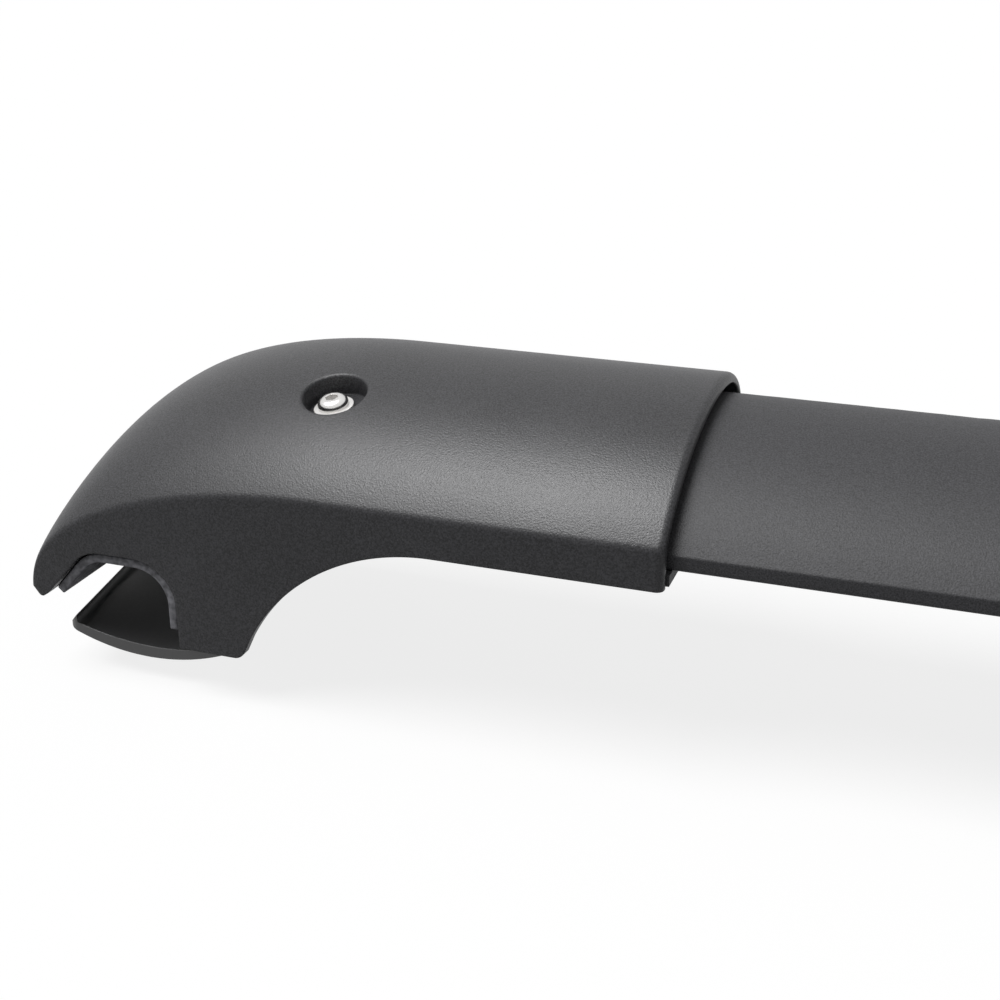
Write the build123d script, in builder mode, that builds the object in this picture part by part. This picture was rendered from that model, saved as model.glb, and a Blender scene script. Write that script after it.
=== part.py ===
# A pair of roof cross bars with clamp feet for raised side rails.
# X runs along the bars, Y runs along the car with its front at +Y, and Z is up.
# The origin is on the floor, at the middle of the pair, which stands on its four clamp jaws.
# A foot is drawn once, as the left end of a bar: X from the tip of its lip, Y from the bar's middle line.
import os
from math import atan2, cos, hypot, radians, sin, tan

from build123d import *

# The pair
OVERALL_LENGTH = 1100.0
BAR_SPACING = 700.0
BELOW_FLOOR = -10.0

# The aerofoil that the cover, its collar and the bar share, with its thin trailing edge at -Y
INNER_WIDTH = 109.0
EDGE_HEIGHT = 13.3
EDGE_FULLNESS = 16.0
EDGE_SLOPE = 48.0
CROWN_HEIGHT = 39.3
CROWN_FROM_EDGE = 72.0
CROWN_REACH_BACK = 37.0
CROWN_REACH_FRONT = 23.0
NOSE_HEIGHT = 15.9
NOSE_FULLNESS = 15.0
UNDERSIDE_Z = 55.1

# The foot cover
FOOT_LENGTH = 222.0
COVER_WALL = 3.5
END_LENGTH = 108.0
END_DROP = 44.5
END_FLATTENING = 0.9
END_FLATTENING_POWER = 2.2
END_WALL = 5.0
END_STATIONS = 6
FACETS_BACK = (0.3, 0.6)
FACETS_FRONT = (0.4, 0.7)
LEAD_LENGTH = 20.0
RIM_RADIUS = 2.5
RIM_STATIONS = 3
ARCH_START_X = 148.5
HEEL_X = 80.0
HEEL_RADIUS = 4.5
LEG_BOTTOM_Z = 8.4

# The mouth that takes the side rail, and its rubber liner
LIP_TIP_Z = 23.2
LIP_BOTTOM_Z = 19.2
LIP_RADIUS = 1.6
LIP_INNER_Z = 21.2
LIP_THICKNESS = 6.0
MOUTH_ROOF_Z = 39.2
MOUTH_SLOPE_X = 22.0
MOUTH_BACK_X = 56.5
MOUTH_SLOPE_RADIUS = 14.0
MOUTH_BACK_RADIUS = 16.0
LINER_THICKNESS = 3.0
LINER_RECESS = 1.2
LINER_GAP = 0.3
LINER_START = 3.5
LINER_END_Z = 14.5

# The bar
BAR_GAP = 3.6
BAR_WALL = 2.5
BAR_WEB_SPACING = 46.0
BAR_BOTTOM_Z = 59.4
BAR_EDGE_HEIGHT = 9.3
BAR_INSERTION = 60.0
BAR_EDGE_RADIUS = 1.2

# The clamp bolt, its washer and nut, and its pocket in the cover
POCKET_X = 98.0
POCKET_Y = -19.0
POCKET_Z = 91.7
POCKET_DIAMETER = 21.6
POCKET_SHIFT = 1.5
POCKET_DEPTH = 6.5
POCKET_WALL = 2.5
POCKET_FLOOR = 3.0
BOLT_LEAN_TRAILING = 12.0
BOLT_LEAN_OUTBOARD = 6.0
BOLT_DIAMETER = 6.0
BOLT_LENGTH = 46.0
BOLT_CLEARANCE = 0.35
HEAD_DIAMETER = 10.5
HEAD_HEIGHT = 3.3
HEAD_ROUNDING = 2.4
SOCKET_WIDTH = 4.0
SOCKET_DEPTH = 2.0
WASHER_DIAMETER = 13.6
WASHER_THICKNESS = 1.6
NUT_WIDTH = 10.0
NUT_HEIGHT = 5.0

# The core inside the cover, a casting with a slotted leg, a tower for the bolt and a tongue for the bar
CORE_CLEARANCE = 0.3
CORE_RECESS = 0.7
CORE_HEEL_RECESS = 8.0
CORE_END_PAST = 1.0
CORE_NOSE = 12.0
CORE_HEADROOM = 2.0
CORE_LEG_GAP = 2.2
LEG_WALL = 5.5
TOWER_WALL = 5.5
TOWER_TOP_Z = 76.2
TOWER_ROOF = 6.5
BOSS_WALL = 5.0
BOSS_LENGTH = 10.0
TONGUE_WIDTH = 38.0
TONGUE_HEIGHT = 8.0
TONGUE_ROOT = 12.0
TONGUE_CLEARANCE = 0.3
TONGUE_END_GAP = 10.0
SCREW_DIAMETER = 5.0
SCREW_LENGTH = 11.0
SCREW_HEAD_DIAMETER = 9.5
SCREW_HEAD_HEIGHT = 2.5
SCREW_CLEARANCE = 0.3
SCREW_PITCH = 24.0

# The clamp jaw, a swept plate under the rail with an arm that climbs to the bolt
JAW_SIDE_GAP = 1.5
JAW_SWEEP = 9.0
JAW_TIP_X = 0.3
JAW_TIP_Z = 6.6
JAW_TIP_HEIGHT = 5.0
JAW_TIP_WIDTH = 3.4
JAW_LOW_X = 33.0
JAW_HEEL_Z = 8.8
JAW_HEEL_WIDTH = 5.2
JAW_PLATE = 4.2
JAW_PLATE_END = 1.3
JAW_CORNER_RADIUS = 4.0
ARM_WIDTH = 36.0
ARM_GAP = 0.8
ARM_SIDE_GAP = 4.0
ARM_DEPTH = 20.0
ARM_KNEE_Z = 25.2
ARM_SHOULDER_Z = 33.2
ARM_NUT_GAP = 1.2
EYE_LENGTH = 20.0
EYE_WIDTH = 32.0
EYE_HEIGHT = 7.0
EYE_DROP = 29.0


def section_plane(x):
    return Plane(origin=(x, 0, 0), x_dir=(0, 1, 0), z_dir=(1, 0, 0))


def crown_curves(outset, drop=0.0, flatten=0.0, edge_height=EDGE_HEIGHT):
    """The two halves of the aerofoil's top, moved out by outset and down by drop, as control points."""
    back_y = -INNER_WIDTH / 2
    front_y = INNER_WIDTH / 2
    crown_y = back_y + CROWN_FROM_EDGE
    edge_z = UNDERSIDE_Z + edge_height - drop
    nose_z = UNDERSIDE_Z + NOSE_HEIGHT - drop
    crown_z = edge_z + (CROWN_HEIGHT - edge_height) * (1 - flatten) + outset
    half = outset / 2
    slope = radians(EDGE_SLOPE)
    reach = EDGE_FULLNESS * (1 - flatten) + half
    back = [(back_y - outset, edge_z),
            (back_y - outset + reach * cos(slope), edge_z + reach * sin(slope)),
            (crown_y - CROWN_REACH_BACK - half, crown_z),
            (crown_y, crown_z)]
    front = [(crown_y, crown_z),
             (crown_y + CROWN_REACH_FRONT + half, crown_z),
             (front_y + outset, nose_z + NOSE_FULLNESS * (1 - flatten) + half),
             (front_y + outset, nose_z)]
    return back, front


def aerofoil(x, outset, bottom_z, drop=0.0, flatten=0.0, edge_height=EDGE_HEIGHT):
    """A closed section of the aerofoil at x, with straight edges down to bottom_z."""
    back, front = crown_curves(outset, drop, flatten, edge_height)
    with BuildSketch(section_plane(x)) as section:
        with BuildLine():
            Bezier(*back)
            Bezier(*front)
            Polyline(front[-1], (front[-1][0], bottom_z), (back[0][0], bottom_z), back[0])
        make_face()
    return section.sketch


def faceted_aerofoil(x, outset, bottom_z, drop, flatten):
    """The same section with its crown in flat facets, for the plain inside of the cover."""
    back, front = crown_curves(outset, drop, flatten)
    with BuildSketch(section_plane(x)) as section:
        with BuildLine():
            rise = Bezier(*back, mode=Mode.PRIVATE)
            fall = Bezier(*front, mode=Mode.PRIVATE)
            crown = [rise @ share for share in (0, *FACETS_BACK, 1)]
            crown += [fall @ share for share in (*FACETS_FRONT, 1)]
            Polyline(*crown, (front[-1][0], bottom_z), (back[0][0], bottom_z), close=True)
        make_face()
    return section.sketch


def end_places(stations):
    """Places from the tip inward where the crown falls away along a quarter of an ellipse."""
    places = []
    for i in range(stations + 1):
        angle = radians(90 - 90 * i / stations)
        fall = 1 - cos(angle)
        flatten = END_FLATTENING * fall ** END_FLATTENING_POWER
        places.append((END_LENGTH * (1 - sin(angle)), END_DROP * fall, flatten))
    return places


def mouth_points(inset, start_shift, end_z):
    """The mouth's outline from the lip over the roof and down its back, moved inward by inset."""
    slope = atan2(MOUTH_ROOF_Z - LIP_INNER_Z, MOUTH_SLOPE_X - LIP_THICKNESS)
    start_x = LIP_THICKNESS + start_shift * cos(slope) + inset * sin(slope)
    start_z = LIP_INNER_Z + start_shift * sin(slope) - inset * cos(slope)
    roof_z = MOUTH_ROOF_Z - inset
    corner_x = MOUTH_SLOPE_X + inset * tan(slope / 2)
    back_x = MOUTH_BACK_X - inset
    return [(start_x, start_z), (corner_x, roof_z), (back_x, roof_z), (back_x, end_z)]


def mouth_radii(inset):
    return [MOUTH_SLOPE_RADIUS - inset, MOUTH_BACK_RADIUS - inset]


# Shared places on the foot
above_foot = UNDERSIDE_Z + 2 * CROWN_HEIGHT
straight_x = END_LENGTH + 2 * LEAD_LENGTH
lip_slope = (LIP_TIP_Z - LIP_BOTTOM_Z) / (LIP_THICKNESS / 2)
lip_start = (-END_WALL, LIP_TIP_Z + END_WALL * lip_slope)
bar_start_x = FOOT_LENGTH - BAR_INSERTION
bar_floor_z = BAR_BOTTOM_Z + BAR_WALL
core_half = INNER_WIDTH / 2 - CORE_CLEARANCE
bolt_axis = Vector(-tan(radians(BOLT_LEAN_OUTBOARD)), -tan(radians(BOLT_LEAN_TRAILING)), 1).normalized()
bolt_plane = Plane(origin=(POCKET_X, POCKET_Y, POCKET_Z), x_dir=(bolt_axis.Z, 0, -bolt_axis.X), z_dir=bolt_axis)
bolt_hole = BOLT_DIAMETER / 2 + BOLT_CLEARANCE
seat_level = -POCKET_DEPTH
head_level = seat_level + WASHER_THICKNESS
cup_level = seat_level - POCKET_FLOOR
eye_level = -EYE_DROP - EYE_HEIGHT
eye = bolt_plane.offset(eye_level).origin
arm_x = MOUTH_BACK_X + LEG_WALL + ARM_GAP
screw_middle_x = (bar_start_x + FOOT_LENGTH - TONGUE_END_GAP) / 2
screw_places = [(screw_middle_x - SCREW_PITCH / 2, 0), (screw_middle_x + SCREW_PITCH / 2, 0)]

# Outer form of the foot: the falling end, the straight collar and its rounded rim
outer_sections = [aerofoil(x, COVER_WALL, BELOW_FLOOR, drop, flatten)
                  for x, drop, flatten in end_places(END_STATIONS)]
outer_sections += [aerofoil(END_LENGTH + LEAD_LENGTH, COVER_WALL, BELOW_FLOOR),
                   aerofoil(straight_x, COVER_WALL, BELOW_FLOOR)]
rim_sections = []
for i in range(RIM_STATIONS + 1):
    turn = radians(90 * i / RIM_STATIONS)
    rim_x = FOOT_LENGTH - RIM_RADIUS * (1 - sin(turn))
    rim_sections.append(aerofoil(rim_x, COVER_WALL - RIM_RADIUS * (1 - cos(turn)), BELOW_FLOOR))
with BuildPart() as outer:
    loft(sections=outer_sections)
    extrude(outer_sections[-1], amount=FOOT_LENGTH - RIM_RADIUS - straight_x)
    loft(sections=rim_sections)

# Hollow of the foot, open below and at the collar
hollow_sections = [faceted_aerofoil(x + END_WALL, 0, BELOW_FLOOR, drop, flatten)
                   for x, drop, flatten in end_places(END_STATIONS)]
with BuildPart() as hollow:
    loft(sections=hollow_sections, ruled=True)
    extrude(hollow_sections[-1], amount=straight_x - END_LENGTH - END_WALL)
    extrude(aerofoil(straight_x, 0, BELOW_FLOOR), amount=FOOT_LENGTH - straight_x)

# The cup that carries the bolt's washer, trimmed to the cover's outer face
with BuildPart() as cup:
    with BuildSketch(bolt_plane.offset(cup_level)):
        with Locations((POCKET_SHIFT, 0)):
            Circle(POCKET_DIAMETER / 2 + POCKET_WALL)
    extrude(amount=2 * POCKET_DIAMETER)
    add(outer.part, mode=Mode.INTERSECT)

# Foot cover: a thin moulding over the core, open below, with the mouth and the leg cut in its sides
with BuildPart() as cover:
    add(outer.part)
    add(hollow.part, mode=Mode.SUBTRACT)
    with BuildSketch(Plane.XZ):
        with BuildLine():
            FilletPolyline(lip_start, (LIP_THICKNESS / 2, LIP_BOTTOM_Z), (LIP_THICKNESS, LIP_INNER_Z),
                           radius=LIP_RADIUS)
            FilletPolyline(*mouth_points(0, 0, LEG_BOTTOM_Z), radius=mouth_radii(0))
            Line((MOUTH_BACK_X, LEG_BOTTOM_Z), (HEEL_X, LEG_BOTTOM_Z))
            TangentArc((ARCH_START_X, UNDERSIDE_Z), (HEEL_X, LEG_BOTTOM_Z), tangent=(-1, 0))
            Polyline((ARCH_START_X, UNDERSIDE_Z), (FOOT_LENGTH, UNDERSIDE_Z), (FOOT_LENGTH, above_foot),
                     (-END_WALL, above_foot), lip_start)
        side = make_face()
        fillet(side.vertices().sort_by_distance((HEEL_X, LEG_BOTTOM_Z))[0], HEEL_RADIUS)
    extrude(amount=INNER_WIDTH, both=True, mode=Mode.INTERSECT)
    add(cup.part)
    with BuildSketch(bolt_plane.offset(seat_level)):
        with Locations((POCKET_SHIFT, 0)):
            Circle(POCKET_DIAMETER / 2)
    extrude(amount=2 * POCKET_DIAMETER, mode=Mode.SUBTRACT)
    with BuildSketch(bolt_plane.offset(cup_level)):
        Circle(bolt_hole)
    extrude(amount=POCKET_FLOOR, mode=Mode.SUBTRACT)

# Core: the casting that carries the bar, the bolt and the jaw
core_leg_z = LEG_BOTTOM_Z + CORE_LEG_GAP
core_heel_x = HEEL_X - CORE_HEEL_RECESS
core_under_z = UNDERSIDE_Z + CORE_RECESS
core_end_x = FOOT_LENGTH + CORE_END_PAST
core_top = [(x + END_WALL, min(UNDERSIDE_Z + EDGE_HEIGHT - drop - CORE_HEADROOM, BAR_BOTTOM_Z))
            for x, drop, flatten in end_places(END_STATIONS)[2:]]
core_mouth = mouth_points(0, CORE_NOSE, core_leg_z)
slot_half = ARM_WIDTH / 2 + ARM_SIDE_GAP
slot_start_x = MOUTH_BACK_X + LEG_WALL
slot_end_x = eye.X + EYE_LENGTH / 2 + ARM_SIDE_GAP
tower_start_x = eye.X - EYE_LENGTH / 2 - TOWER_WALL
tower_end_x = slot_end_x + TOWER_WALL
tongue_z = bar_floor_z + TONGUE_CLEARANCE
tongue_end_x = FOOT_LENGTH - TONGUE_END_GAP
with BuildPart() as core:
    with BuildSketch(Plane.XZ):
        with BuildLine():
            FilletPolyline(*core_mouth, radius=mouth_radii(0))
            Line(core_mouth[-1], (core_heel_x, core_leg_z))
            TangentArc((ARCH_START_X, core_under_z), (core_heel_x, core_leg_z), tangent=(-1, 0))
            Polyline((ARCH_START_X, core_under_z), (core_end_x, core_under_z), (core_end_x, BAR_BOTTOM_Z),
                     *reversed(core_top), core_mouth[0])
        make_face()
    extrude(amount=core_half, both=True)
    with BuildSketch(Plane.XY.offset(core_under_z)):
        with Locations(((tower_start_x + tower_end_x) / 2, eye.Y)):
            Rectangle(tower_end_x - tower_start_x, 2 * (slot_half + TOWER_WALL))
    extrude(amount=TOWER_TOP_Z - core_under_z)
    with BuildSketch(bolt_plane.offset(cup_level)):
        Circle(bolt_hole + BOSS_WALL)
    extrude(amount=-BOSS_LENGTH)
    with BuildSketch(Plane.XY.offset(BELOW_FLOOR)):
        with Locations(((slot_start_x + slot_end_x) / 2, eye.Y)):
            Rectangle(slot_end_x - slot_start_x, 2 * slot_half)
    extrude(amount=TOWER_TOP_Z - TOWER_ROOF - BELOW_FLOOR, mode=Mode.SUBTRACT)
    with BuildSketch(bolt_plane.offset(cup_level)):
        Circle(bolt_hole)
    extrude(amount=-2 * BOSS_LENGTH, mode=Mode.SUBTRACT)
    with BuildSketch(Plane.XZ):
        with BuildLine():
            root_end_x = bar_start_x - TONGUE_CLEARANCE
            Polyline((root_end_x - TONGUE_ROOT, core_under_z), (root_end_x, core_under_z),
                     (root_end_x, tongue_z), (tongue_end_x, tongue_z),
                     (tongue_end_x, tongue_z + TONGUE_HEIGHT),
                     (root_end_x - TONGUE_ROOT, tongue_z + TONGUE_HEIGHT), close=True)
        make_face()
    extrude(amount=TONGUE_WIDTH / 2, both=True)
    with BuildSketch(Plane.XY.offset(core_under_z)):
        with Locations(*screw_places):
            Circle(SCREW_DIAMETER / 2 + SCREW_CLEARANCE)
    extrude(amount=tongue_z + TONGUE_HEIGHT - core_under_z, mode=Mode.SUBTRACT)
    with BuildSketch(Plane.XY.offset(core_under_z)):
        with Locations(*screw_places):
            Circle(SCREW_HEAD_DIAMETER / 2 + SCREW_CLEARANCE)
    extrude(amount=SCREW_HEAD_HEIGHT, mode=Mode.SUBTRACT)

# Two screws from below that hold the bar down on the core
with BuildPart() as screws:
    with BuildSketch(Plane.XY.offset(core_under_z)):
        with Locations(*screw_places):
            Circle(SCREW_HEAD_DIAMETER / 2)
    extrude(amount=SCREW_HEAD_HEIGHT)
    with BuildSketch(Plane.XY.offset(core_under_z + SCREW_HEAD_HEIGHT)):
        with Locations(*screw_places):
            Circle(SCREW_DIAMETER / 2)
    extrude(amount=SCREW_LENGTH)
    with BuildSketch(Plane.XY.offset(core_under_z)):
        with Locations(*screw_places):
            RegularPolygon(SOCKET_WIDTH / 2, 6, major_radius=False)
    extrude(amount=SOCKET_DEPTH, mode=Mode.SUBTRACT)

# Rubber liner of the mouth
liner_out = mouth_points(LINER_GAP, LINER_START, LINER_END_Z)
liner_in = mouth_points(LINER_GAP + LINER_THICKNESS, LINER_START, LINER_END_Z)
with BuildPart() as liner:
    with BuildSketch(Plane.XZ):
        with BuildLine():
            FilletPolyline(*liner_out, radius=mouth_radii(LINER_GAP))
            FilletPolyline(*liner_in, radius=mouth_radii(LINER_GAP + LINER_THICKNESS))
            Line(liner_out[0], liner_in[0])
            Line(liner_out[-1], liner_in[-1])
        make_face()
    extrude(amount=INNER_WIDTH / 2 + COVER_WALL - LINER_RECESS, both=True)

# Clamp jaw: its plate sweeps back to both sides of the middle, and its arm ends in an eye square to the bolt
jaw_half = INNER_WIDTH / 2 - JAW_SIDE_GAP
sweep_length = hypot(jaw_half, JAW_SWEEP)
jaw_heel_x = arm_x + JAW_HEEL_WIDTH
jaw_heel_top = (jaw_heel_x, JAW_HEEL_Z + JAW_PLATE_END)
tip_top_z = JAW_TIP_Z + JAW_TIP_HEIGHT
tip_back_x = JAW_TIP_X + JAW_TIP_WIDTH
swept_tip_x = JAW_TIP_X + JAW_SWEEP
swept_heel_x = jaw_heel_x + JAW_SWEEP
nut_corner = NUT_WIDTH / 2 / cos(radians(30))
arm_nut_x = eye.X - nut_corner - ARM_NUT_GAP
arm_top_z = eye.Z + EYE_HEIGHT / 2
with BuildPart() as jaw:
    with BuildSketch(Plane.XZ) as jaw_side:
        with BuildLine():
            ThreePointArc((JAW_TIP_X, JAW_TIP_Z), (JAW_LOW_X, 0), (jaw_heel_x, JAW_HEEL_Z))
            Line((jaw_heel_x, JAW_HEEL_Z), jaw_heel_top)
            ThreePointArc(jaw_heel_top, (JAW_LOW_X, JAW_PLATE), (tip_back_x, JAW_TIP_Z + JAW_PLATE / 2))
            Polyline((tip_back_x, JAW_TIP_Z + JAW_PLATE / 2), (tip_back_x, tip_top_z),
                     (JAW_TIP_X, tip_top_z), (JAW_TIP_X, JAW_TIP_Z))
        make_face()
    extrude(jaw_side.sketch, amount=sweep_length, dir=(JAW_SWEEP, jaw_half, 0))
    extrude(jaw_side.sketch, amount=sweep_length, dir=(JAW_SWEEP, -jaw_half, 0))
    with BuildSketch(Plane.XY):
        with BuildLine():
            Polyline((JAW_TIP_X, 0), (swept_tip_x, jaw_half), (swept_heel_x, jaw_half),
                     (swept_heel_x, -jaw_half), (swept_tip_x, -jaw_half), close=True)
        plan = make_face()
        fillet(plan.vertices().group_by(Axis.X)[1], JAW_CORNER_RADIUS)
    extrude(amount=tip_top_z, mode=Mode.INTERSECT)
    with BuildSketch(Plane(origin=(0, eye.Y, 0), x_dir=(1, 0, 0), z_dir=(0, -1, 0))):
        with BuildLine():
            Polyline((arm_x, JAW_HEEL_Z - JAW_PLATE / 2), (jaw_heel_x, JAW_HEEL_Z), (arm_x + ARM_DEPTH, ARM_KNEE_Z),
                     (arm_nut_x, eye.Z - NUT_HEIGHT), (arm_nut_x, arm_top_z),
                     (eye.X - EYE_LENGTH / 2, arm_top_z), (arm_x, ARM_SHOULDER_Z), close=True)
        make_face()
    extrude(amount=ARM_WIDTH / 2, both=True)
    with BuildSketch(bolt_plane.offset(eye_level)):
        Rectangle(EYE_LENGTH, EYE_WIDTH)
    extrude(amount=EYE_HEIGHT)
    with BuildSketch(bolt_plane.offset(eye_level)):
        Circle(bolt_hole)
    extrude(amount=EYE_HEIGHT, mode=Mode.SUBTRACT)

# Clamp bolt with a button head and a hexagon socket
with BuildPart() as bolt:
    with BuildSketch(bolt_plane.offset(head_level)):
        Circle(HEAD_DIAMETER / 2)
    extrude(amount=HEAD_HEIGHT)
    fillet(bolt.edges().sort_by(Axis(bolt_plane.origin, bolt_axis))[-1], HEAD_ROUNDING)
    with BuildSketch(bolt_plane.offset(head_level)):
        Circle(BOLT_DIAMETER / 2)
    extrude(amount=-BOLT_LENGTH)
    with BuildSketch(bolt_plane.offset(head_level + HEAD_HEIGHT)):
        RegularPolygon(SOCKET_WIDTH / 2, 6, major_radius=False)
    extrude(amount=-SOCKET_DEPTH, mode=Mode.SUBTRACT)

# Washer on the floor of the pocket
with BuildPart() as washer:
    with BuildSketch(bolt_plane.offset(seat_level)):
        Circle(WASHER_DIAMETER / 2)
        Circle(bolt_hole, mode=Mode.SUBTRACT)
    extrude(amount=WASHER_THICKNESS)

# Nut under the eye of the jaw
with BuildPart() as nut:
    with BuildSketch(bolt_plane.offset(eye_level)):
        RegularPolygon(NUT_WIDTH / 2, 6, major_radius=False)
        Circle(bolt_hole, mode=Mode.SUBTRACT)
    extrude(amount=-NUT_HEIGHT)

# Bar: a drawn section with two webs, from inside one collar to inside the other
bar_length = OVERALL_LENGTH - 2 * bar_start_x
web = Rectangle(BAR_WALL, 2 * above_foot)
bar_rooms = aerofoil(bar_start_x, -BAR_GAP - BAR_WALL, bar_floor_z, edge_height=BAR_EDGE_HEIGHT)
for web_y in (-BAR_WEB_SPACING / 2, BAR_WEB_SPACING / 2):
    bar_rooms -= section_plane(bar_start_x) * Pos(web_y, BAR_BOTTOM_Z) * web
with BuildPart() as bar:
    extrude(aerofoil(bar_start_x, -BAR_GAP, BAR_BOTTOM_Z, edge_height=BAR_EDGE_HEIGHT), amount=bar_length)
    low_edges = bar.edges().filter_by(Axis.X).group_by(Axis.Z)[0]
    fillet(low_edges, BAR_EDGE_RADIUS)
    extrude(bar_rooms, amount=bar_length, mode=Mode.SUBTRACT)
    with BuildSketch(Plane.XY.offset(BAR_BOTTOM_Z)):
        with Locations(*screw_places, *[(OVERALL_LENGTH - x, y) for x, y in screw_places]):
            Circle(SCREW_DIAMETER / 2 + SCREW_CLEARANCE)
    extrude(amount=BAR_WALL, mode=Mode.SUBTRACT)

# The pair: each bar with its left foot, and the same foot mirrored at its right end
foot_pieces = {
    "foot_cover": cover.part,
    "foot_core": core.part,
    "core_screws": screws.part,
    "rail_liner": liner.part,
    "clamp_jaw": jaw.part,
    "clamp_bolt": bolt.part,
    "bolt_washer": washer.part,
    "jaw_nut": nut.part,
}
os.makedirs("parts", exist_ok=True)


def hand_in(piece, name):
    piece.label = name
    export_step(piece, f"parts/{name}.step")


for row, side_y in (("front", BAR_SPACING / 2), ("rear", -BAR_SPACING / 2)):
    place = Pos(-OVERALL_LENGTH / 2, side_y, 0)
    hand_in(place * bar.part, f"{row}_bar")
    for name, piece in foot_pieces.items():
        left = place * piece
        hand_in(left, f"{row}_left_{name}")
        hand_in(mirror(left, about=Plane.YZ), f"{row}_right_{name}")
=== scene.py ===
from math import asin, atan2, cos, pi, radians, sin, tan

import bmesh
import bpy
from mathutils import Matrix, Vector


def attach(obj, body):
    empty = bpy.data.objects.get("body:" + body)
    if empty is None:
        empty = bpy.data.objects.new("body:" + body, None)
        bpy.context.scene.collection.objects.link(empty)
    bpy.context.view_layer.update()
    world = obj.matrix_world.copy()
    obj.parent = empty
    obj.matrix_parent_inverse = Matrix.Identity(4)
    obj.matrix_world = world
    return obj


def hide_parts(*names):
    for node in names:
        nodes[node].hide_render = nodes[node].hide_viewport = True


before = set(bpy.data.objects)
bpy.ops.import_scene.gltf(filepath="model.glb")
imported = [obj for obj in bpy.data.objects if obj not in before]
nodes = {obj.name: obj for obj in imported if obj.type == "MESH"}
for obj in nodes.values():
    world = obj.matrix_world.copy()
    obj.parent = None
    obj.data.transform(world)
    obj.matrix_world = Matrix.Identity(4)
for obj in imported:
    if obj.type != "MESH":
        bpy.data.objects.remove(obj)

# %% [markdown]
# # A pair of roof cross bars
# Two aerofoil bars lie across a car, and each stands on two feet that clamp a raised side rail.
# The solids come from the frame, so this script only dresses them: finer skins, surfaces, light and a camera.
# The scene is in metres, X runs along the bars, Y to the car's front and Z up.

scene = bpy.context.scene
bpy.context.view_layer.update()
MM = 0.001
FEET = ("front_left", "front_right", "rear_left", "rear_right")

# %% [markdown]
# ## Writing shader maths as plain arithmetic
# A material is a graph of nodes, and wiring maths nodes by hand hides the idea.
# One small class holds an output socket, so that sums and products of textures read like formulas.
# Every other node comes from one method that takes its type, its settings and its inputs.

# %% A socket that can be added and multiplied
EDGE_SAMPLES = 6


class Socket:
    def __init__(self, graph, socket):
        self.graph = graph
        self.socket = socket

    def maths(self, operation, first, second):
        return self.graph.node("ShaderNodeMath", {"operation": operation}, {0: first, 1: second})

    def __add__(self, other):
        return self.maths("ADD", self, other)

    def __sub__(self, other):
        return self.maths("SUBTRACT", self, other)

    def __rsub__(self, other):
        return self.maths("SUBTRACT", other, self)

    def __mul__(self, other):
        return self.maths("MULTIPLY", self, other)

    def limited(self, low, high):
        return self.maths("MINIMUM", self.maths("MAXIMUM", self, low), high)

    __radd__ = __add__
    __rmul__ = __mul__


class Graph:
    def __init__(self, name):
        self.material = bpy.data.materials.new(name)
        self.material.use_nodes = True
        self.tree = self.material.node_tree
        self.surface = self.tree.nodes["Principled BSDF"]

    def node(self, kind, settings=None, inputs=None, output=0):
        made = self.tree.nodes.new(kind)
        for key, value in (settings or {}).items():
            setattr(made, key, value)
        for key, value in (inputs or {}).items():
            self.feed(made.inputs[key], value)
        return Socket(self, made.outputs[output])

    def feed(self, target, value):
        if isinstance(value, Socket):
            self.tree.links.new(value.socket, target)
        else:
            target.default_value = value

    def set(self, **inputs):
        for key, value in inputs.items():
            self.feed(self.surface.inputs[key.replace("_", " ")], value)

    def place(self):
        return self.node("ShaderNodeTexCoord", output="Object")

    def noise(self, place, scale, detail, roughness=0.5):
        inputs = {"Vector": place, "Scale": scale, "Detail": detail, "Roughness": roughness}
        return self.node("ShaderNodeTexNoise", None, inputs)

    def cells(self, place, scale):
        inputs = {"Vector": place, "Scale": scale, "Smoothness": 1.0}
        return self.node("ShaderNodeTexVoronoi", {"feature": "SMOOTH_F1"}, inputs)

    def mix(self, factor, first, second):
        """A blend of two colours, which are the node's sockets 6 and 7."""
        inputs = {"Factor": factor, 6: first, 7: second}
        return self.node("ShaderNodeMix", {"data_type": "RGBA"}, inputs, output=2)

    def bump(self, height, strength, distance, edge):
        """Small heights on a surface whose edges look rounded by a radius."""
        soft = self.node("ShaderNodeBevel", {"samples": EDGE_SAMPLES}, {"Radius": edge})
        inputs = {"Height": height, "Strength": strength, "Distance": distance, "Normal": soft}
        return self.node("ShaderNodeBump", None, inputs)


print("shader helpers ready")

# %% [markdown]
# ## Black surfaces with a grain
# The mould of the covers is etched, so the plastic has a pear-skin grain of pimples half a millimetre across.
# A picture of a grain could be wrapped round the part, but it would show seams and blur in a close view.
# So smooth cells give the pimples and fine noise breaks them up, and both go into one bump.
# The grain tops are rubbed a little smoother than the valleys.
# Slow noise lets the sheen drift over the part.
# The other black surfaces follow the same rule with other values: powder coat, casting, paint and rubber.

# %% Plastic, powder coat, paint and rubber
COOL = 1.08
DRIFT_SCALE = 21.0
GRAIN_HEIGHT = 0.3 * MM
PIMPLE_SHARE = 0.3
SPECKLE_DRIFT = 0.5
SPECKLE_CONTRAST = 2.4
SHEEN_DRIFT = 0.1
SHEEN_VALLEYS = 0.08
SHEEN_LIMITS = (0.2, 0.95)


def cool_grey(tone):
    return (tone, tone, tone * COOL, 1.0)


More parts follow.
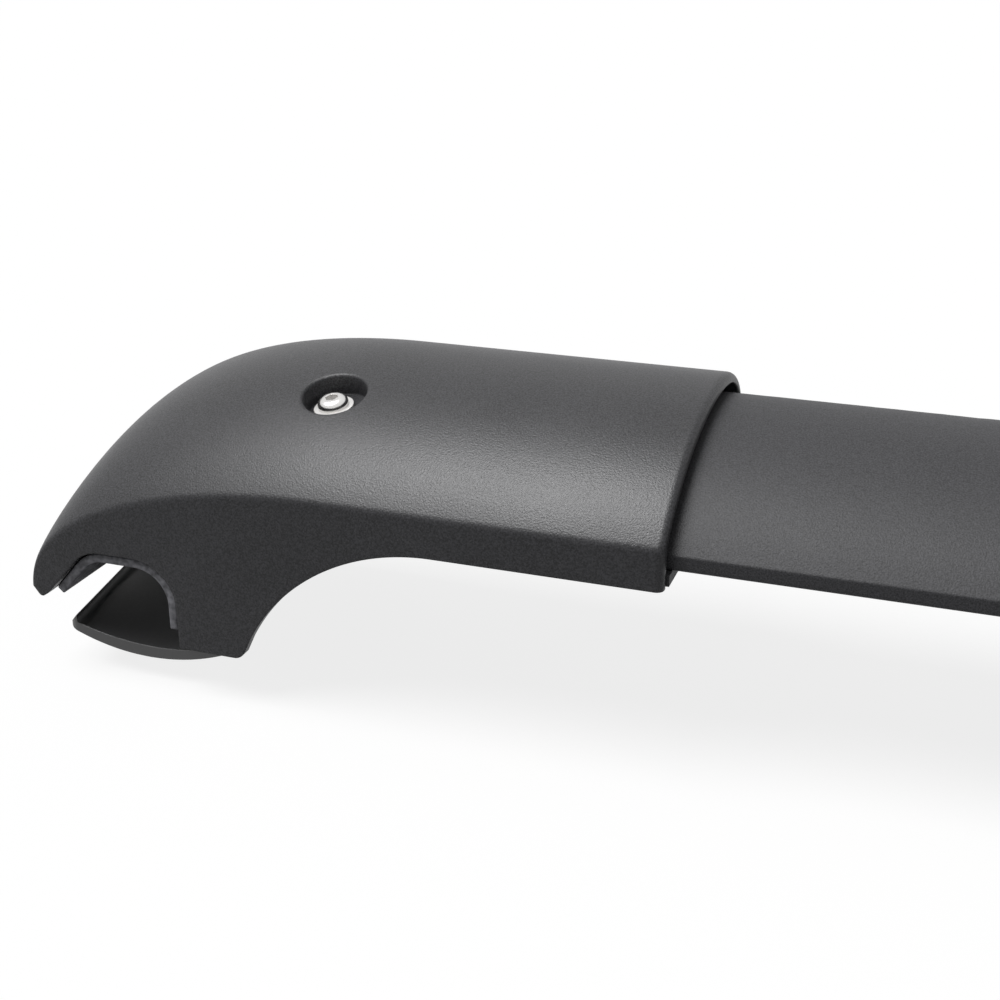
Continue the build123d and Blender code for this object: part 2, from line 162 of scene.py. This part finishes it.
def grained_black(name, tone, grain, depth, sheen, edge, speckle, gloss=0.27):
    """A dark surface with so many grains to the metre, whose tone varies by a share called speckle."""
    graph = Graph(name)
    place = graph.place()
    pimples = graph.cells(place, grain)
    dust = graph.noise(place, grain, detail=1.0)
    drift = graph.noise(place, DRIFT_SCALE, detail=3.0, roughness=0.6)
    patches = drift * SPECKLE_DRIFT + (dust - 0.5) * SPECKLE_CONTRAST + (1 - SPECKLE_DRIFT) / 2
    dark = cool_grey(tone * (1 - speckle))
    pale = cool_grey(tone * (1 + speckle))
    rough = sheen + (drift - 0.5) * SHEEN_DRIFT + (pimples - 0.5) * SHEEN_VALLEYS
    graph.set(Base_Color=graph.mix(patches.limited(0.0, 1.0), dark, pale))
    graph.set(Roughness=rough.limited(*SHEEN_LIMITS))
    graph.set(Normal=graph.bump(dust - pimples * PIMPLE_SHARE, depth, GRAIN_HEIGHT, edge))
    graph.set(IOR=1.5, Specular_IOR_Level=gloss)
    return graph.material


cover_plastic = grained_black("cover plastic", tone=0.038, grain=1800.0, depth=0.35, sheen=0.44,
                              edge=1.1 * MM, speckle=0.6, gloss=0.24)
bar_coat = grained_black("bar powder coat", tone=0.045, grain=2000.0, depth=0.3, sheen=0.6,
                         edge=1.2 * MM, speckle=0.5, gloss=0.22)
core_plastic = grained_black("core plastic", tone=0.025, grain=700.0, depth=0.2, sheen=0.62,
                             edge=0.5 * MM, speckle=0.2)
jaw_paint = grained_black("jaw paint", tone=0.008, grain=900.0, depth=0.03, sheen=0.46,
                          edge=0.6 * MM, speckle=0.2, gloss=0.8)
liner_rubber = grained_black("liner rubber", tone=0.2, grain=500.0, depth=0.9, sheen=0.7,
                             edge=0.5 * MM, speckle=0.5)
black_surfaces = (cover_plastic, bar_coat, core_plastic, jaw_paint, liner_rubber)
print("black surfaces:", [material.name for material in black_surfaces])

# %% [markdown]
# ## Steel of the fasteners
# Bright stainless steel is a bare metal, so its colour is the colour of its reflection.
# One even roughness could do for it, but the head of a bolt would then look like a mirror or like grey paint.
# So very fine scratches spread the reflection, and slow stains make it a little uneven.

# %% Bright and dark steel
SCRATCH_SCALE = 2600.0
SCRATCH_DEPTH = 0.12
SCRATCH_HEIGHT = 0.05 * MM
SCRATCH_DULLNESS = 0.12
STAIN_SCALE = 160.0
STAIN_DULLNESS = 0.08
STAIN_SHADE = (0.8, 0.8, 0.82)
STEEL_EDGE = 0.2 * MM
STEEL_LIMITS = (0.05, 0.9)


def steel(name, tone, sheen):
    """A bare metal of a red, green and blue tone, a little darker where it is stained."""
    graph = Graph(name)
    place = graph.place()
    scratches = graph.noise(place, SCRATCH_SCALE, detail=4.0)
    stain = graph.noise(place, STAIN_SCALE, detail=3.0)
    worn = [value * shade for value, shade in zip(tone, STAIN_SHADE)]
    rough = sheen + scratches * SCRATCH_DULLNESS + stain * STAIN_DULLNESS
    graph.set(Metallic=1.0, Base_Color=graph.mix(stain, (*worn, 1.0), (*tone, 1.0)))
    graph.set(Roughness=rough.limited(*STEEL_LIMITS))
    graph.set(Normal=graph.bump(scratches, SCRATCH_DEPTH, SCRATCH_HEIGHT, STEEL_EDGE))
    return graph.material


bright_steel = steel("bright steel", (0.72, 0.71, 0.69), 0.12)
washer_steel = steel("washer steel", (0.7, 0.69, 0.67), 0.34)
dark_steel = steel("dark steel", (0.22, 0.22, 0.23), 0.3)
print("steel:", bright_steel.name, washer_steel.name, dark_steel.name)

# %% [markdown]
# ## Surfaces on the solids
# Each foot has the same eight pieces, and the last words of a solid's name say which piece it is.
# Surfaces could be given one solid at a time, but one short table does it for all of them.

# %% Materials on the solids
FINISH = {
    "foot_cover": cover_plastic,
    "foot_core": core_plastic,
    "core_screws": dark_steel,
    "rail_liner": liner_rubber,
    "clamp_jaw": jaw_paint,
    "clamp_bolt": bright_steel,
    "bolt_washer": washer_steel,
    "jaw_nut": dark_steel,
    "bar": bar_coat,
}
for name, solid in nodes.items():
    kind = next(key for key in FINISH if name.endswith(key))
    solid.data.materials.clear()
    solid.data.materials.append(FINISH[kind])
print("solids dressed:", len(nodes))

# %% [markdown]
# ## A finer skin for the feet
# The solids are cut into few triangles, which is right for physics but shows as facets in a close picture.
# Their triangles could be divided further, but the smaller ones would lie in the same flat facets.
# A cover is one aerofoil section that is carried along X while its top falls away to the tip.
# So the skin is made again from the same rule with many more sections, and then cut with the same outlines.
# Cutting one closed body with another is a boolean, and it keeps every wall and hole where the solid has it.

# %% Measures of a foot in millimetres, from the tip of its lip
FOOT_LENGTH = 222.0
INNER_WIDTH = 109.0
COVER_WALL = 3.5
UNDERSIDE_Z = 55.1
EDGE_HEIGHT = 13.3
EDGE_FULLNESS = 16.0
EDGE_SLOPE = 48.0
CROWN_HEIGHT = 39.3
CROWN_FROM_EDGE = 72.0
CROWN_REACH_BACK = 37.0
CROWN_REACH_FRONT = 23.0
CROWN_STEPS = 56
NOSE_HEIGHT = 15.9
NOSE_FULLNESS = 15.0
END_LENGTH = 108.0
END_DROP = 44.5
END_WALL = 5.0
END_FLATTENING = 0.9
END_FLATTENING_POWER = 2.2
CREASE_EASE = 1.5
CREASE_STEPS = 6
BELOW_FLOOR = -10.0
print("foot in millimetres:", FOOT_LENGTH, "by", INNER_WIDTH + 2 * COVER_WALL)


# %% Sections of the foot
def bezier(points, count, start=0.0):
    """Evenly stepped points on a curve with four control points, from a share of its length on."""
    line = []
    for i in range(count):
        t = start + (1 - start) * i / (count - 1)
        shares = ((1 - t) ** 3, 3 * t * (1 - t) ** 2, 3 * t * t * (1 - t), t ** 3)
        line.append(tuple(sum(s * p[axis] for s, p in zip(shares, points)) for axis in (0, 1)))
    return line


def crown(outset, drop=0.0, flatten=0.0, ease=0.0):
    """The top of the aerofoil from its trailing to its leading edge, as Y and Z, with its crease eased."""
    back_y = -INNER_WIDTH / 2
    front_y = INNER_WIDTH / 2
    crown_y = back_y + CROWN_FROM_EDGE
    edge_z = UNDERSIDE_Z + EDGE_HEIGHT - drop
    nose_z = UNDERSIDE_Z + NOSE_HEIGHT - drop
    crown_z = edge_z + (CROWN_HEIGHT - EDGE_HEIGHT) * (1 - flatten) + outset
    half = outset / 2
    reach = EDGE_FULLNESS * (1 - flatten) + half
    slope = radians(EDGE_SLOPE)
    back = [(back_y - outset, edge_z), (back_y - outset + reach * cos(slope), edge_z + reach * sin(slope)),
            (crown_y - CROWN_REACH_BACK - half, crown_z), (crown_y, crown_z)]
    front = [(crown_y, crown_z), (crown_y + CROWN_REACH_FRONT + half, crown_z),
             (front_y + outset, nose_z + NOSE_FULLNESS * (1 - flatten) + half), (front_y + outset, nose_z)]
    rise = bezier(back, CROWN_STEPS, ease / (3 * reach))
    corner = Vector(back[0])
    wall = corner - Vector((0.0, ease))
    crease = []
    for i in range(CREASE_STEPS if ease else 0):
        t = i / CREASE_STEPS
        crease.append(tuple(wall * (1 - t) ** 2 + corner * 2 * t * (1 - t) + Vector(rise[0]) * t * t))
    return crease + rise + bezier(front, CROWN_STEPS // 2)[1:]


def ring(x, outset, **shape):
    """One closed section at x, which reaches down below the floor."""
    top = crown(outset, **shape)
    return [(x, y, z) for y, z in top] + [(x, top[-1][0], BELOW_FLOOR), (x, top[0][0], BELOW_FLOOR)]


def end_rings(outset, shift, count, ease=0.0):
    """Sections of the end, where the top falls along a quarter of an ellipse."""
    rings = []
    for i in range(count + 1):
        angle = pi / 2 * (1 - i / count)
        fall = 1 - cos(angle)
        shape = {"drop": END_DROP * fall, "flatten": END_FLATTENING * fall ** END_FLATTENING_POWER}
        rings.append(ring(END_LENGTH * (1 - sin(angle)) + shift, outset, ease=ease, **shape))
    return rings


print("points in one section:", len(ring(0.0, COVER_WALL)))


# %% Closed bodies and cuts
def body_from_rings(name, rings):
    """A closed body through sections in millimetres that all have the same number of points."""
    size = len(rings[0])
    corners = [tuple(v * MM for v in point) for section in rings for point in section]
    faces = [list(range(size - 1, -1, -1)), list(range((len(rings) - 1) * size, len(rings) * size))]
    for i in range(len(rings) - 1):
        for j in range(size):
            k = (j + 1) % size
            faces.append((i * size + j, i * size + k, (i + 1) * size + k, (i + 1) * size + j))
    mesh = bpy.data.meshes.new(name)
    mesh.from_pydata(corners, [], faces)
    build = bmesh.new()
    build.from_mesh(mesh)
    bmesh.ops.recalc_face_normals(build, faces=build.faces)
    build.to_mesh(mesh)
    build.free()
    made = bpy.data.objects.new(name, mesh)
    scene.collection.objects.link(made)
    return made


def prism(name, outline, half_width):
    """An outline in X and Z, carried to both sides of the middle."""
    return body_from_rings(name, [[(x, y, z) for x, z in outline] for y in (-half_width, half_width)])


def applied(target):
    """The mesh of a target with its modifiers worked in, which are then dropped."""
    bpy.context.view_layer.update()
    result = bpy.data.meshes.new_from_object(target.evaluated_get(bpy.context.evaluated_depsgraph_get()))
    target.modifiers.clear()
    return result


def carve(target, operation, tool):
    """Join, cut or intersect target with tool, and throw the tool away."""
    step = target.modifiers.new(operation, "BOOLEAN")
    step.operation = operation
    step.object = tool
    step.solver = "EXACT"
    target.data = applied(target)
    bpy.data.objects.remove(tool)


print("body tools ready")

# %% [markdown]
# ## The side outline, the pocket and the four covers
# Seen from the side a cover has a hooked lip, a mouth for the rail, a leg and an arch up to the collar.
# It could be drawn point by point, but straight runs joined by arcs need only their corners and radii.
# The bolt's pocket is a round cup that leans with the bolt, with a rounded rim and a hole in its floor.
# The cover is curved there, so rays along the bolt find the height of the rim all the way round.

# %% Measures of the outline and the pocket in millimetres
LIP = [(0.0, 23.2), (3.0, 19.2), (6.0, 21.2)]
LIP_RADIUS = 1.6
MOUTH = [(6.0, 21.2), (22.0, 39.2), (56.5, 39.2), (56.5, 8.4)]
MOUTH_RADII = [14.0, 16.0]
HEEL = (80.0, 8.4)
HEEL_RADIUS = 4.5
HEEL_JOIN = 6
ARCH_START_X = 148.5
ARCH_STEPS = 60
POCKET = (98.0, -19.0, 91.7)
POCKET_SHIFT = 1.5
POCKET_RADIUS = 10.8
POCKET_WALL = 2.5
POCKET_DEPTH = 6.5
POCKET_FLOOR = 3.0
POCKET_TOP = 2 * POCKET_RADIUS
POCKET_ROUNDING = 1.3
POCKET_STEPS = 96
POCKET_RIM_STEPS = 8
BOLT_HOLE = 3.35
BOLT_LEAN_X = 6.0
BOLT_LEAN_Y = 12.0
BOLT_AXIS = Vector((-tan(radians(BOLT_LEAN_X)), -tan(radians(BOLT_LEAN_Y)), 1.0)).normalized()
BOLT_ACROSS = Vector((BOLT_AXIS.z, 0.0, -BOLT_AXIS.x)).normalized()
BOLT_ALONG = BOLT_AXIS.cross(BOLT_ACROSS)
print("direction of the bolt:", [round(v, 3) for v in BOLT_AXIS])


# %% Arcs and rounded corners
def arc(centre, radius, start, end, steps):
    turns = [start + (end - start) * i / steps for i in range(steps + 1)]
    return [(centre[0] + radius * cos(t), centre[1] + radius * sin(t)) for t in turns]


def rounded(points, radii, steps=14):
    """A broken line whose inner corners are rounded, as points on it."""
    line = [points[0]]
    for before, corner, after, radius in zip(points, points[1:], points[2:], radii):
        corner = Vector(corner)
        come = (corner - Vector(before)).normalized()
        go = (Vector(after) - corner).normalized()
        turn = abs(come.angle_signed(go))
        side = 1 if come.x * go.y - come.y * go.x > 0 else -1
        first = corner - come * radius * tan(turn / 2)
        centre = first + Vector((-come.y, come.x)) * radius * side
        line += [tuple(centre + Matrix.Rotation(side * turn * i / steps, 2) @ (first - centre))
                 for i in range(steps + 1)]
    return line + [points[-1]]


def side_outline():
    """The cover seen from the side, closed over its top. The rounded heel ends on a point of the arch."""
    rise = UNDERSIDE_Z - HEEL[1]
    run = ARCH_START_X - HEEL[0]
    radius = (run ** 2 + rise ** 2) / (2 * rise)
    centre = (ARCH_START_X, UNDERSIDE_Z - radius)
    heel_turn = pi - asin((HEEL[1] - centre[1]) / radius)
    arch = arc(centre, radius, heel_turn, pi / 2, ARCH_STEPS)
    lip_slope = (LIP[0][1] - LIP[1][1]) / (LIP[1][0] - LIP[0][0])
    lip_start = (-END_WALL, LIP[0][1] + END_WALL * lip_slope)
    lip = rounded([lip_start, LIP[1], LIP[2]], [LIP_RADIUS])
    leg = rounded([MOUTH[-1], HEEL, arch[HEEL_JOIN]], [HEEL_RADIUS])
    top_z = UNDERSIDE_Z + 2 * CROWN_HEIGHT
    top = [(FOOT_LENGTH, UNDERSIDE_Z), (FOOT_LENGTH, top_z), (-END_WALL, top_z)]
    return lip[:-1] + rounded(MOUTH, MOUTH_RADII) + leg[1:] + arch[HEEL_JOIN + 1:] + top


print("points in the side outline:", len(side_outline()))


# %% Round bodies along the bolt
def spoke(i, steps):
    """One of evenly turned directions square to the bolt."""
    turn = 2 * pi * i / steps
    return BOLT_ACROSS * cos(turn) + BOLT_ALONG * sin(turn)


def round_bar(name, radius, low, high, shift=0.0, steps=72):
    """A round body between two levels above the pocket's middle."""
    middle = Vector(POCKET) + BOLT_ACROSS * shift
    rings = []
    for level in (low, high):
        rings.append([tuple(middle + spoke(i, steps) * radius + BOLT_AXIS * level) for i in range(steps)])
    return body_from_rings(name, rings)


def pocket_hollow(skin):
    """The hollow of the pocket, which opens in a rounded rim where it meets a skin."""
    bpy.context.view_layer.update()
    middle = Vector(POCKET) + BOLT_ACROSS * POCKET_SHIFT
    wide = POCKET_RADIUS + POCKET_ROUNDING
    columns = []
    for i in range(POCKET_STEPS):
        way = spoke(i, POCKET_STEPS)
        start = middle + way * wide + BOLT_AXIS * POCKET_TOP
        _, spot, _, _ = skin.ray_cast(start * MM, -BOLT_AXIS)
        rim = (spot / MM - middle).dot(BOLT_AXIS)
        profile = [(POCKET_RADIUS, -POCKET_DEPTH)]
        for j in range(POCKET_RIM_STEPS + 1):
            bend = pi / 2 * j / POCKET_RIM_STEPS
            profile.append((wide - POCKET_ROUNDING * cos(bend), rim - POCKET_ROUNDING * (1 - sin(bend))))
        profile.append((wide, POCKET_TOP))
        columns.append([tuple(middle + way * radius + BOLT_AXIS * level) for radius, level in profile])
    return body_from_rings("pocket", list(zip(*columns)))


print("rounding of the pocket's rim in millimetres:", POCKET_ROUNDING)

# %% One cover, cut from its sections
END_SECTIONS = 44
HOLLOW_SECTIONS = 20
BODY_SECTIONS_X = (130.0, 160.0, 190.0)
RIM_RADIUS = 2.5
RIM_STEPS = 8


def outer_body(name):
    """The outside of a cover, with a rounded rim at the collar."""
    rings = end_rings(COVER_WALL, 0.0, END_SECTIONS, CREASE_EASE)
    rings += [ring(x, COVER_WALL, ease=CREASE_EASE) for x in BODY_SECTIONS_X]
    for i in range(RIM_STEPS + 1):
        turn = pi / 2 * i / RIM_STEPS
        x = FOOT_LENGTH - RIM_RADIUS * (1 - sin(turn))
        rings.append(ring(x, COVER_WALL - RIM_RADIUS * (1 - cos(turn)), ease=CREASE_EASE))
    return body_from_rings(name, rings)


cover_skin = outer_body("cover_skin")
pocket = pocket_hollow(cover_skin)
cup = round_bar("cup", POCKET_RADIUS + POCKET_WALL, -POCKET_DEPTH - POCKET_FLOOR, POCKET_TOP, POCKET_SHIFT)
carve(cup, "INTERSECT", outer_body("cup limit"))
hollow_rings = end_rings(0.0, END_WALL, HOLLOW_SECTIONS) + [ring(FOOT_LENGTH + END_WALL, 0.0)]
carve(cover_skin, "DIFFERENCE", body_from_rings("hollow", hollow_rings))
carve(cover_skin, "INTERSECT", prism("side", side_outline(), INNER_WIDTH))
carve(cover_skin, "UNION", cup)
carve(cover_skin, "DIFFERENCE", pocket)
carve(cover_skin, "DIFFERENCE", round_bar("hole", BOLT_HOLE, -POCKET_DEPTH - 2 * POCKET_FLOOR, 0.0))
print("faces in a cover skin:", len(cover_skin.data.polygons))

# %% [markdown]
# ## Copies for the four feet
# The right feet mirror the left ones, and the rear bar repeats the front one.
# A mirrored object could be scaled by minus one, but then its faces would look inward.
# So each mesh is copied and flipped in X, and its faces are turned outward again.

# %% Placing skins
HALF_LENGTH = 0.55
HALF_SPACING = 0.35
SMOOTH_BELOW = radians(30.0)


def place_skin(source, foot, node, body_name, finish):
    """A copy of a left foot's skin at one of the four feet, in place of its solid."""
    mesh = source.data.copy()
    row, side = foot.split("_")
    mesh.transform(Matrix.Translation((-HALF_LENGTH, HALF_SPACING if row == "front" else -HALF_SPACING, 0.0)))
    if side == "right":
        mesh.transform(Matrix.Scale(-1.0, 4, (1.0, 0.0, 0.0)))
        mesh.flip_normals()
    mesh.materials.clear()
    mesh.materials.append(finish)
    for face in mesh.polygons:
        face.use_smooth = True
    mesh.set_sharp_from_angle(angle=SMOOTH_BELOW)
    skin = bpy.data.objects.new(f"{foot}_{source.name}", mesh)
    scene.collection.objects.link(skin)
    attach(skin, body_name)
    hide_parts(f"{foot}_{node}")


for foot in FEET:
    place_skin(cover_skin, foot, "foot_cover", "pair", cover_plastic)
bpy.data.objects.remove(cover_skin)
print("cover skins placed:", len(FEET))

# %% [markdown]
# ## The rubber liners
# A liner is a ribbon of rubber bent round the inside of the mouth, where it grips the rail.
# It could be cut from a block, but following the mouth's outline at two insets keeps its thickness even.
# The outer inset leaves a dark seam under the cover, and a bevel rounds the cut edges of the rubber.

# %% Measures of the liner in millimetres
LINER_SEAM = 0.8
LINER_INSIDE = 3.9
LINER_START = 3.5
LINER_END_Z = 14.5
LINER_RECESS = 1.2
LINER_EASE = 0.5
LINER_EASE_STEPS = 3
LINER_EASE_FROM = radians(50.0)
print("liner thickness in millimetres:", round(LINER_INSIDE - LINER_SEAM, 2))


# %% Liners bent round the mouths
def mouth_line(inset):
    """The mouth from its lip to its back, moved inward by an inset."""
    slope = atan2(MOUTH[1][1] - MOUTH[0][1], MOUTH[1][0] - MOUTH[0][0])
    start = (MOUTH[0][0] + LINER_START * cos(slope) + inset * sin(slope),
             MOUTH[0][1] + LINER_START * sin(slope) - inset * cos(slope))
    roof_z = MOUTH[1][1] - inset
    back_x = MOUTH[2][0] - inset
    corners = [start, (MOUTH[1][0] + inset * tan(slope / 2), roof_z), (back_x, roof_z), (back_x, LINER_END_Z)]
    return rounded(corners, [radius - inset for radius in MOUTH_RADII])


ribbon = mouth_line(LINER_SEAM) + mouth_line(LINER_INSIDE)[::-1]
liner_skin = prism("liner_skin", ribbon, INNER_WIDTH / 2 + COVER_WALL - LINER_RECESS)
ease = liner_skin.modifiers.new("ease", "BEVEL")
ease.width = LINER_EASE * MM
ease.segments = LINER_EASE_STEPS
ease.limit_method = "ANGLE"
ease.angle_limit = LINER_EASE_FROM
liner_skin.data = applied(liner_skin)
for foot in FEET:
    place_skin(liner_skin, foot, "rail_liner", "pair", liner_rubber)
bpy.data.objects.remove(liner_skin)
print("liner skins placed:", len(FEET))

# %% [markdown]
# ## The lips of the jaws
# A jaw hooks under the rail with a lip that tapers to a thin top edge, so that it slips in beside the rail.
# The whole jaw could be made again, but only the top of its lip differs, so a copy of the solid is cut once.
# The cut slopes across the lip and sweeps back with it to both sides of the middle.

# %% Measures of a jaw in millimetres
JAW_LIP_OUTSIDE_X = 0.3
JAW_LIP_INSIDE_X = 3.7
JAW_LIP_TOP_Z = 11.6
JAW_LIP_TAPER = 50.0
JAW_SIDE_GAP = 1.5
JAW_HALF_WIDTH = INNER_WIDTH / 2 - JAW_SIDE_GAP
JAW_SWEEP = 9.0
CUT_SPARE = 1.0
CUT_OVERRUN = 1.1
print("jaw width in millimetres:", 2 * JAW_HALF_WIDTH)


# %% Jaws with tapered lips
def lip_cut():
    """The wedge above the sloping top of a lip."""
    fall = tan(radians(JAW_LIP_TAPER))
    low_x = JAW_LIP_OUTSIDE_X - CUT_SPARE
    high_z = JAW_LIP_TOP_Z + CUT_SPARE
    slope_start = (JAW_LIP_INSIDE_X + CUT_SPARE / fall, high_z)
    slope_end = (low_x, JAW_LIP_TOP_Z - (JAW_LIP_INSIDE_X - low_x) * fall)
    rings = []
    for share in (-CUT_OVERRUN, 0.0, CUT_OVERRUN):
        sweep = JAW_SWEEP * abs(share)
        wedge = (slope_start, slope_end, (low_x, high_z))
        rings.append([(x + sweep, JAW_HALF_WIDTH * share, z) for x, z in wedge])
    return body_from_rings("lip cut", rings)


jaw_skin = bpy.data.objects.new("jaw_skin", nodes["front_left_clamp_jaw"].data.copy())
jaw_skin.data.transform(Matrix.Translation((HALF_LENGTH, -HALF_SPACING, 0.0)))
scene.collection.objects.link(jaw_skin)
carve(jaw_skin, "DIFFERENCE", lip_cut())
for foot in FEET:
    place_skin(jaw_skin, foot, "clamp_jaw", f"{foot}_jaw", jaw_paint)
bpy.data.objects.remove(jaw_skin)
print("jaw skins placed:", len(FEET))

# %% [markdown]
# ## Floor and room
# The object is shown on white. A plainly white room would light a black part from all sides and flatten it.
# So floor and room are white where the camera or a reflection sees them, and give only a little soft light.
# The jaws open downward by 8 mm, so the floor lies just below that, and an open jaw stays in view.

# %% White floor and room
WHITE = (1.0, 1.0, 1.0, 1.0)
FLOOR_GREY = (0.2, 0.2, 0.2, 1.0)
FLOOR_GLOW = 0.82
FLOOR_REACH = 20.0
FLOOR_DROP = 8.5 * MM
ROOM_SHOWN = 1.0
ROOM_FILL = 0.2


def background_rays(tree):
    """One where a ray comes from the camera, a reflection or a clear piece, and otherwise nothing."""
    path = tree.nodes.new("ShaderNodeLightPath")
    total = path.outputs["Is Camera Ray"]
    for ray in ("Is Glossy Ray", "Is Transmission Ray"):
        either = tree.nodes.new("ShaderNodeMath")
        either.operation = "MAXIMUM"
        tree.links.new(total, either.inputs[0])
        tree.links.new(path.outputs[ray], either.inputs[1])
        total = either.outputs[0]
    return total


def shown_or_gathered(tree, gathered, shown, output):
    """A shader that shows one face to the camera and gives soft light by the other."""
    choice = tree.nodes.new("ShaderNodeMixShader")
    tree.links.new(background_rays(tree), choice.inputs[0])
    tree.links.new(gathered.outputs[0], choice.inputs[1])
    tree.links.new(shown.outputs[0], choice.inputs[2])
    tree.links.new(choice.outputs[0], tree.nodes[output].inputs["Surface"])


def room_light(node, strength):
    node.inputs["Color"].default_value = WHITE
    node.inputs["Strength"].default_value = strength
    return node


floor_corners = [(x * FLOOR_REACH, y * FLOOR_REACH, 0.0) for x, y in ((-1, -1), (1, -1), (1, 1), (-1, 1))]
floor_mesh = bpy.data.meshes.new("floor")
floor_mesh.from_pydata(floor_corners, [], [(0, 1, 2, 3)])
floor = bpy.data.objects.new("floor", floor_mesh)
scene.collection.objects.link(floor)
floor.location.z = -FLOOR_DROP
floor_paint = Graph("white floor")
floor_paint.set(Base_Color=FLOOR_GREY, Roughness=1.0, Specular_IOR_Level=0.0)
floor_paint.set(Emission_Color=WHITE, Emission_Strength=FLOOR_GLOW)
grey = floor_paint.tree.nodes.new("ShaderNodeBsdfDiffuse")
grey.inputs["Color"].default_value = FLOOR_GREY
shown_or_gathered(floor_paint.tree, grey, floor_paint.surface, "Material Output")
floor_mesh.materials.append(floor_paint.material)

world = bpy.data.worlds.new("white room")
scene.world = world
world.use_nodes = True
room = world.node_tree
white = room_light(room.nodes["Background"], ROOM_SHOWN)
fill = room_light(room.nodes.new("ShaderNodeBackground"), ROOM_FILL)
shown_or_gathered(room, fill, white, "World Output")
print("floor and room ready:", floor.name, world.name)

# %% [markdown]
# ## Lamps
# A wide key light from above lights every surface evenly.
# A soft box hangs above the collar for the band of sheen along the crease.
# It could light the foot as well, but that would wash out the grain, so it is seen in reflections only.

# %% A soft key light and a soft box
COLLAR = (-0.36, 0.3, 0.08)
KEY_PLACE = (-0.38, -0.25, 0.89)
KEY_ENERGY = 2.5
KEY_ANGLE = 40.0
BOX_PLACE = (-0.55, 0.2, 0.88)
BOX_ENERGY = 12.5
BOX_SIZE = 0.4


def aim(lamp, name, place, target):
    """Hangs a lamp at a place and points it at a target."""
    made = bpy.data.objects.new(name, lamp)
    made.location = place
    made.rotation_euler = (Vector(target) - Vector(place)).to_track_quat("-Z", "Y").to_euler()
    scene.collection.objects.link(made)
    return made


key = bpy.data.lights.new("key", "SUN")
key.energy = KEY_ENERGY
key.angle = radians(KEY_ANGLE)
aim(key, "key", KEY_PLACE, (0.0, 0.0, 0.0))
box = bpy.data.lights.new("soft box", "AREA")
box.energy = BOX_ENERGY
box.size = BOX_SIZE
aim(box, "soft_box", BOX_PLACE, COLLAR).visible_diffuse = False
scene.view_settings.view_transform = "Standard"
print("lamps:", key.name, box.name)

# %% [markdown]
# ## Camera
# The camera stands between the two bars and looks down at the left foot of the front one.
# It could be set by eye, but its place, angles and focal length are fitted, because a guess shifts every edge.

# %% Camera
SENSOR_WIDTH = 36.0
FOCAL_LENGTH = 54.62
CAMERA_PLACE = (-0.239094, -0.103423, 0.247459)
CAMERA_DOWN = 22.0
CAMERA_TURN = 19.426

lens = bpy.data.cameras.new("camera")
lens.sensor_width = SENSOR_WIDTH
lens.lens = FOCAL_LENGTH
lens.clip_start = 0.01
camera = bpy.data.objects.new("camera", lens)
camera.location = CAMERA_PLACE
camera.rotation_euler = (radians(90.0 - CAMERA_DOWN), 0.0, radians(CAMERA_TURN))
scene.collection.objects.link(camera)
scene.camera = camera
print("camera:", CAMERA_DOWN, "degrees down,", CAMERA_TURN, "degrees to the side")
